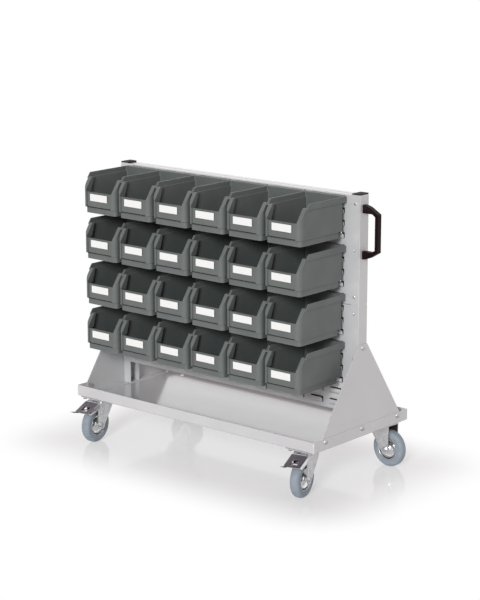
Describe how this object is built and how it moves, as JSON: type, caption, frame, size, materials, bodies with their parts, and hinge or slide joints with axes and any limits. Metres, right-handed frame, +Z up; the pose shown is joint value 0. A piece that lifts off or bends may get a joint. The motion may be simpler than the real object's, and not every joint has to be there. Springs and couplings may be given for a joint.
{
  "type": "mobile bin cart",
  "caption": "Rolling cart with a louvred panel rack on a shallow tray, open-front storage bins hung on one side, swivel casters with brake pedals and a push handle.",
  "frame": {"origin": "on the floor, under the middle of the cart's overall footprint", "axes": "+Z up; +X along the cart towards the end with the handle; bins hang on the -Y side"},
  "size_m": [1.0648, 0.5684, 0.9164],
  "materials": {
    "frame_paint": "light grey powder coat, satin",
    "zinc": "zinc plated pressed steel, satin",
    "fastener": "zinc plated, semi-bright",
    "bin_plastic": "dark grey moulded plastic, fine texture",
    "tyre_rubber": "blue-grey rubber, matt",
    "handle_plastic": "near-black moulded plastic, satin",
    "cap_plastic": "dark grey-brown moulded plastic",
    "label_card": "plain white card"
  },
  "bodies": {
    "root": {"tray": "frame_paint", "left_gusset": "frame_paint", "right_gusset": "frame_paint", "left_upright": "frame_paint", "right_upright": "frame_paint", "left_cap": "cap_plastic", "right_cap": "cap_plastic", "front_panel_upper": "frame_paint", "front_panel_lower": "frame_paint", "rear_panel_upper": "frame_paint", "rear_panel_lower": "frame_paint", "panel_screws": "fastener", "gusset_bolts": "fastener", "handle": "handle_plastic", "handle_screws": "fastener", "caster_plates": "zinc", "caster_bolts": "fastener", "swivel_bearings": "fastener"},
    "fork_front_left": {"fork_front_left": "zinc", "axle_front_left": "fastener"},
    "wheel_front_left": {"rim_front_left": "zinc", "tyre_front_left": "tyre_rubber"},
    "brake_pedal_front_left": {"brake_pedal_front_left": "zinc"},
    "fork_front_right": {"fork_front_right": "zinc", "axle_front_right": "fastener"},
    "wheel_front_right": {"rim_front_right": "zinc", "tyre_front_right": "tyre_rubber"},
    "brake_pedal_front_right": {"brake_pedal_front_right": "zinc"},
    "fork_rear_left": {"fork_rear_left": "zinc", "axle_rear_left": "fastener"},
    "wheel_rear_left": {"rim_rear_left": "zinc", "tyre_rear_left": "tyre_rubber"},
    "fork_rear_right": {"fork_rear_right": "zinc", "axle_rear_right": "fastener"},
    "wheel_rear_right": {"rim_rear_right": "zinc", "tyre_rear_right": "tyre_rubber"},
    "bin_1_1": {"bin_1_1": "bin_plastic"},
    "bin_1_2": {"bin_1_2": "bin_plastic"},
    "bin_1_3": {"bin_1_3": "bin_plastic"},
    "bin_1_4": {"bin_1_4": "bin_plastic"},
    "bin_1_5": {"bin_1_5": "bin_plastic"},
    "bin_1_6": {"bin_1_6": "bin_plastic"},
    "bin_2_1": {"bin_2_1": "bin_plastic"},
    "bin_2_2": {"bin_2_2": "bin_plastic"},
    "bin_2_3": {"bin_2_3": "bin_plastic"},
    "bin_2_4": {"bin_2_4": "bin_plastic"},
    "bin_2_5": {"bin_2_5": "bin_plastic"},
    "bin_2_6": {"bin_2_6": "bin_plastic"},
    "bin_3_1": {"bin_3_1": "bin_plastic"},
    "bin_3_2": {"bin_3_2": "bin_plastic"},
    "bin_3_3": {"bin_3_3": "bin_plastic"},
    "bin_3_4": {"bin_3_4": "bin_plastic"},
    "bin_3_5": {"bin_3_5": "bin_plastic"},
    "bin_3_6": {"bin_3_6": "bin_plastic"},
    "bin_4_1": {"bin_4_1": "bin_plastic"},
    "bin_4_2": {"bin_4_2": "bin_plastic"},
    "bin_4_3": {"bin_4_3": "bin_plastic"},
    "bin_4_4": {"bin_4_4": "bin_plastic"},
    "bin_4_5": {"bin_4_5": "bin_plastic"},
    "bin_4_6": {"bin_4_6": "bin_plastic"}
  },
  "joints": [
    {"name": "press_brake_pedal_front_left", "type": "hinge", "parent": "fork_front_left", "child": "brake_pedal_front_left", "pos_m": [-0.45976, -0.20052, 0.1245], "axis": [0.9945, 0.1045, 0], "range_deg": [0, 13]},
    {"name": "press_brake_pedal_front_right", "type": "hinge", "parent": "fork_front_right", "child": "brake_pedal_front_right", "pos_m": [0.42458, -0.19983, 0.1245], "axis": [0.9781, 0.2079, 0], "range_deg": [0, 13]},
    {"name": "swivel_front_left", "type": "hinge", "parent": "root", "child": "fork_front_left", "pos_m": [-0.46415, -0.15875, 0.15], "axis": [0, 0, 1], "continuous": true},
    {"name": "swivel_front_right", "type": "hinge", "parent": "root", "child": "fork_front_right", "pos_m": [0.41585, -0.15875, 0.15], "axis": [0, 0, 1], "continuous": true},
    {"name": "swivel_rear_left", "type": "hinge", "parent": "root", "child": "fork_rear_left", "pos_m": [-0.46415, 0.24125, 0.15], "axis": [0, 0, 1], "continuous": true},
    {"name": "swivel_rear_right", "type": "hinge", "parent": "root", "child": "fork_rear_right", "pos_m": [0.41585, 0.24125, 0.15], "axis": [0, 0, 1], "continuous": true},
    {"name": "roll_front_left", "type": "hinge", "parent": "fork_front_left", "child": "wheel_front_left", "pos_m": [-0.46133, -0.1856, 0.06], "axis": [0.9945, 0.1045, 0], "continuous": true},
    {"name": "roll_front_right", "type": "hinge", "parent": "fork_front_right", "child": "wheel_front_right", "pos_m": [0.42146, -0.18516, 0.06], "axis": [0.9781, 0.2079, 0], "continuous": true},
    {"name": "roll_rear_left", "type": "hinge", "parent": "fork_rear_left", "child": "wheel_rear_left", "pos_m": [-0.43774, 0.24686, 0.06], "axis": [-0.2079, 0.9781, 0], "continuous": true},
    {"name": "roll_rear_right", "type": "hinge", "parent": "fork_rear_right", "child": "wheel_rear_right", "pos_m": [0.44278, 0.23937, 0.06], "axis": [0.0698, 0.9976, 0], "continuous": true},
    {"name": "lift_bin_1_1", "type": "slide", "parent": "root", "child": "bin_1_1", "axis": [0, 0, 1], "range_m": [0, 0.014]},
    {"name": "lift_bin_1_2", "type": "slide", "parent": "root", "child": "bin_1_2", "axis": [0, 0, 1], "range_m": [0, 0.014]},
    {"name": "lift_bin_1_3", "type": "slide", "parent": "root", "child": "bin_1_3", "axis": [0, 0, 1], "range_m": [0, 0.014]},
    {"name": "lift_bin_1_4", "type": "slide", "parent": "root", "child": "bin_1_4", "axis": [0, 0, 1], "range_m": [0, 0.014]},
    {"name": "lift_bin_1_5", "type": "slide", "parent": "root", "child": "bin_1_5", "axis": [0, 0, 1], "range_m": [0, 0.014]},
    {"name": "lift_bin_1_6", "type": "slide", "parent": "root", "child": "bin_1_6", "axis": [0, 0, 1], "range_m": [0, 0.014]},
    {"name": "lift_bin_2_1", "type": "slide", "parent": "root", "child": "bin_2_1", "axis": [0, 0, 1], "range_m": [0, 0.014]},
    {"name": "lift_bin_2_2", "type": "slide", "parent": "root", "child": "bin_2_2", "axis": [0, 0, 1], "range_m": [0, 0.014]},
    {"name": "lift_bin_2_3", "type": "slide", "parent": "root", "child": "bin_2_3", "axis": [0, 0, 1], "range_m": [0, 0.014]},
    {"name": "lift_bin_2_4", "type": "slide", "parent": "root", "child": "bin_2_4", "axis": [0, 0, 1], "range_m": [0, 0.014]},
    {"name": "lift_bin_2_5", "type": "slide", "parent": "root", "child": "bin_2_5", "axis": [0, 0, 1], "range_m": [0, 0.014]},
    {"name": "lift_bin_2_6", "type": "slide", "parent": "root", "child": "bin_2_6", "axis": [0, 0, 1], "range_m": [0, 0.014]},
    {"name": "lift_bin_3_1", "type": "slide", "parent": "root", "child": "bin_3_1", "axis": [0, 0, 1], "range_m": [0, 0.014]},
    {"name": "lift_bin_3_2", "type": "slide", "parent": "root", "child": "bin_3_2", "axis": [0, 0, 1], "range_m": [0, 0.014]},
    {"name": "lift_bin_3_3", "type": "slide", "parent": "root", "child": "bin_3_3", "axis": [0, 0, 1], "range_m": [0, 0.014]},
    {"name": "lift_bin_3_4", "type": "slide", "parent": "root", "child": "bin_3_4", "axis": [0, 0, 1], "range_m": [0, 0.014]},
    {"name": "lift_bin_3_5", "type": "slide", "parent": "root", "child": "bin_3_5", "axis": [0, 0, 1], "range_m": [0, 0.014]},
    {"name": "lift_bin_3_6", "type": "slide", "parent": "root", "child": "bin_3_6", "axis": [0, 0, 1], "range_m": [0, 0.014]},
    {"name": "lift_bin_4_1", "type": "slide", "parent": "root", "child": "bin_4_1", "axis": [0, 0, 1], "range_m": [0, 0.014]},
    {"name": "lift_bin_4_2", "type": "slide", "parent": "root", "child": "bin_4_2", "axis": [0, 0, 1], "range_m": [0, 0.014]},
    {"name": "lift_bin_4_3", "type": "slide", "parent": "root", "child": "bin_4_3", "axis": [0, 0, 1], "range_m": [0, 0.014]},
    {"name": "lift_bin_4_4", "type": "slide", "parent": "root", "child": "bin_4_4", "axis": [0, 0, 1], "range_m": [0, 0.014]},
    {"name": "lift_bin_4_5", "type": "slide", "parent": "root", "child": "bin_4_5", "axis": [0, 0, 1], "range_m": [0, 0.014]},
    {"name": "lift_bin_4_6", "type": "slide", "parent": "root", "child": "bin_4_6", "axis": [0, 0, 1], "range_m": [0, 0.014]}
  ]
}
